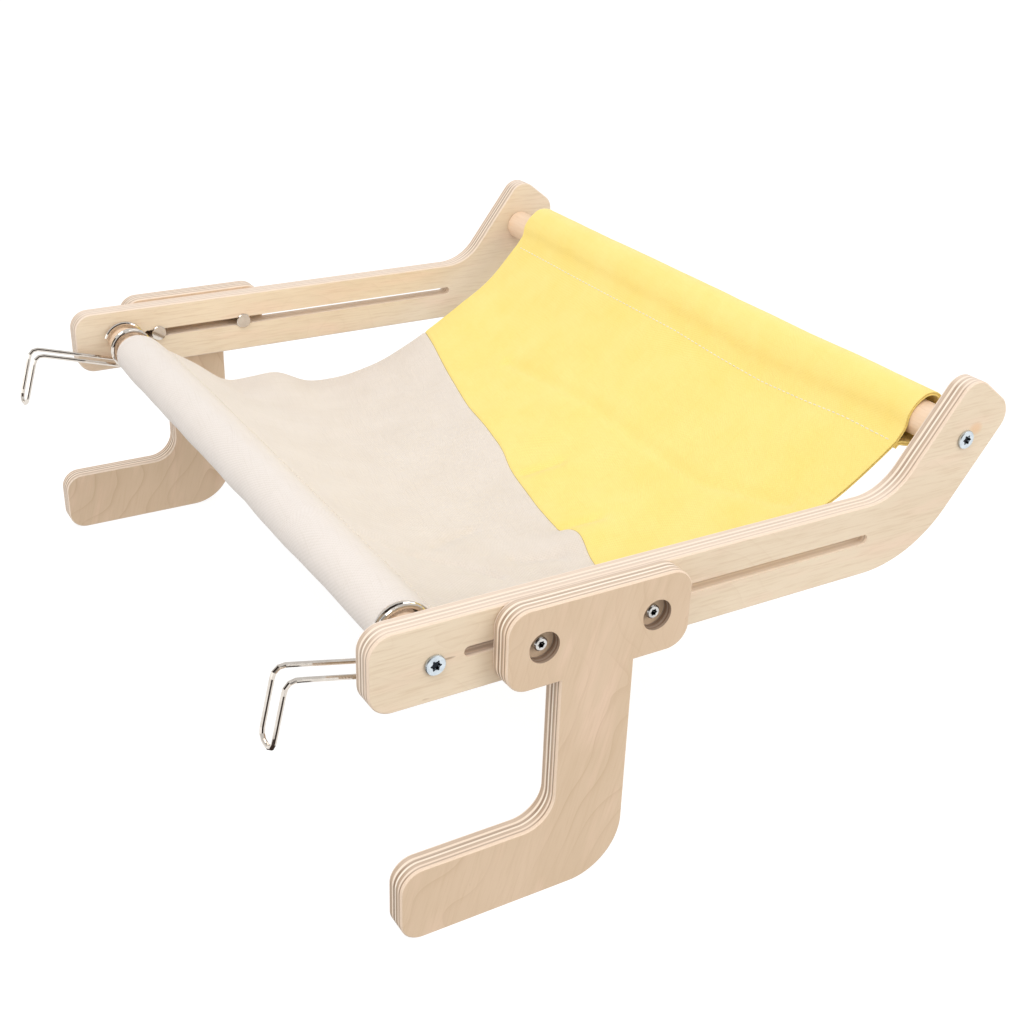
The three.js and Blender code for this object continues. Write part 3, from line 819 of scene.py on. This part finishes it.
def add_dark_cards():
    """Dark cards that only metal reflects: one behind the camera, and one on the floor in front
    of the wire hooks."""
    graph = Graph("card_paint")
    grain = graph.noise(graph.place(), 2.0, 2.0)
    graph.shade(Base_Color=graph.mix(grain, srgb(46, 34, 28), srgb(60, 46, 38)), Roughness=1.0)
    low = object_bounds()[0][2]
    behind = add_plane("dark_card_behind", 4.6, 1.5, (-0.75, -1.35, 0.75), (0, 0, 0), graph.material)
    under = add_plane("dark_card_under", 0.5, 0.5, (-0.27, -0.36, low), (-0.27, -0.36, 1),
                      graph.material)
    for card in (behind, under):
        card.visible_camera = False
        card.visible_diffuse = False
        card.visible_transmission = False
        card.visible_shadow = False


def add_area_light(name, location, size, power):
    light = bpy.data.lights.new(name, "AREA")
    light.shape = "DISK"
    light.size = size
    light.energy = power
    lamp = bpy.data.objects.new(name, light)
    lamp.location = location
    lamp.rotation_euler = (LIGHTS_AIM - lamp.location).to_track_quat("-Z", "Y").to_euler()
    bpy.context.scene.collection.objects.link(lamp)


def add_world():
    """Even light from all round, a little weaker from below."""
    world = bpy.data.worlds.new("studio")
    world.use_nodes = True
    nodes, links = world.node_tree.nodes, world.node_tree.links
    background = nodes["Background"]
    direction = nodes.new("ShaderNodeTexCoord")
    split = nodes.new("ShaderNodeSeparateXYZ")
    height = nodes.new("ShaderNodeMapRange")
    height.inputs["From Min"].default_value = -0.5
    height.inputs["From Max"].default_value = 0.6
    height.inputs["To Min"].default_value = WORLD_BELOW
    height.inputs["To Max"].default_value = WORLD_ABOVE
    links.new(direction.outputs["Generated"], split.inputs["Vector"])
    links.new(split.outputs["Z"], height.inputs["Value"])
    links.new(height.outputs["Result"], background.inputs["Strength"])
    background.inputs["Color"].default_value = (1, 1, 1, 1)
    bpy.context.scene.world = world


def add_camera():
    azimuth, elevation = math.radians(CAMERA_AZIMUTH), math.radians(CAMERA_ELEVATION)
    back = Vector((math.sin(azimuth) * math.cos(elevation),
                   -math.cos(azimuth) * math.cos(elevation), math.sin(elevation)))
    data = bpy.data.cameras.new("camera")
    data.lens = CAMERA_LENS
    data.sensor_width = 36
    camera = bpy.data.objects.new("camera", data)
    camera.location = CAMERA_TARGET + back * CAMERA_DISTANCE
    turn = (-back).to_track_quat("-Z", "Y").to_matrix().to_4x4()
    camera.rotation_euler = turn.to_euler()
    camera.rotation_euler.rotate_axis("Z", math.radians(CAMERA_ROLL))
    bpy.context.scene.collection.objects.link(camera)
    bpy.context.scene.camera = camera


# Make everything

materials = {
    # The pairs are how much paler the edges are all round and on top; the extra on top is painted
    # light.
    "rail": plywood("rail_plywood", RAIL_OUTER_FACE, RAIL_VENEER, (0.2, 0.62), slot_painted_light, RAIL_MARKS),
    "leg": plywood("leg_plywood", LEG_OUTER_FACE, LEG_VENEER, (0.0, 0.3), bore_burn_and_shade),
    "dowel": turned_wood("dowel_wood"),
    "zinc": metal("zinc_steel", (0.66, 0.72, 0.76, 1), (0.50, 0.56, 0.61, 1), 0.28, 260, 0.28),
    "nickel": metal("nickel_steel", (0.74, 0.69, 0.63, 1), (0.63, 0.57, 0.51, 1), 0.08, 160,
                    scratched=0.1),
    "bolt": metal("bolt_steel", (0.66, 0.65, 0.63, 1), (0.50, 0.48, 0.46, 1), 0.22, 260, 0.27),
    "brass": metal("brass", (0.80, 0.64, 0.32, 1), (0.66, 0.50, 0.24, 1), 0.3, 200),
    "cream": canvas("cream_canvas", srgb(227, 217, 207), srgb(221, 210, 198),
                    srgb(202, 189, 174), 1.3 * MM, 0.4, srgb(226, 217, 210)),
    "yellow": canvas("yellow_canvas", srgb(249, 226, 137), srgb(246, 220, 123),
                     srgb(232, 202, 94), 1.1 * MM, 0.25),
    "cream_thread": thread("cream_thread", srgb(236, 226, 212)),
    "white_thread": thread("white_thread", srgb(250, 244, 222)),
}


# Material of each CAD node, by the end of its name. What is left is nickel.
NODE_LOOKS = {"side_rail": "rail", "_leg": "leg", "_dowel": "dowel", "screw": "zinc",
              "leg_bolt": "bolt", "insert": "brass"}


def look_of(node):
    for ending, look in NODE_LOOKS.items():
        if node.endswith(ending):
            return look
    return "nickel"


for node_name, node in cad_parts.items():
    if node_name.startswith("hammock"):
        continue
    for k in range(len(node.data.materials)):
        node.data.materials[k] = materials[look_of(node_name)]
    smooth(node, 60 if node_name.endswith("wire_hook") else 35)

points, flat = cloth_surface(front_section, GRID_FRONT, seam_at_end=True)
normals = grid_normals(points)
front_mesh = cloth_mesh("front_cloth", points, flat, normals)
front_cloth = add_piece("front_cloth", front_mesh, materials["cream"])
front_stitches = sleeve_stitches("front_stitches", points, normals, flat,
                                 FRONT_CORNER[0] + 1.5 * MM, materials["cream_thread"])
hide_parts("hammock_front_panel")

points, flat = cloth_surface(back_section, GRID_BACK, seam_at_end=False)
normals = grid_normals(points)
back_mesh = cloth_mesh("back_cloth", points, flat, normals)
back_cloth = add_piece("back_cloth", back_mesh, materials["yellow"])
back_stitches = sleeve_stitches("back_stitches", points, normals, flat,
                                BACK_CORNER[0] - 1.0 * MM, materials["white_thread"])
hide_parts("hammock_back_panel")

add_floor()
add_backdrop()
add_dark_cards()
add_world()
for light_name, (location, size, power) in LIGHTS.items():
    add_area_light(light_name, location, size, power)
add_camera()
bpy.context.scene.view_settings.view_transform = "Standard"
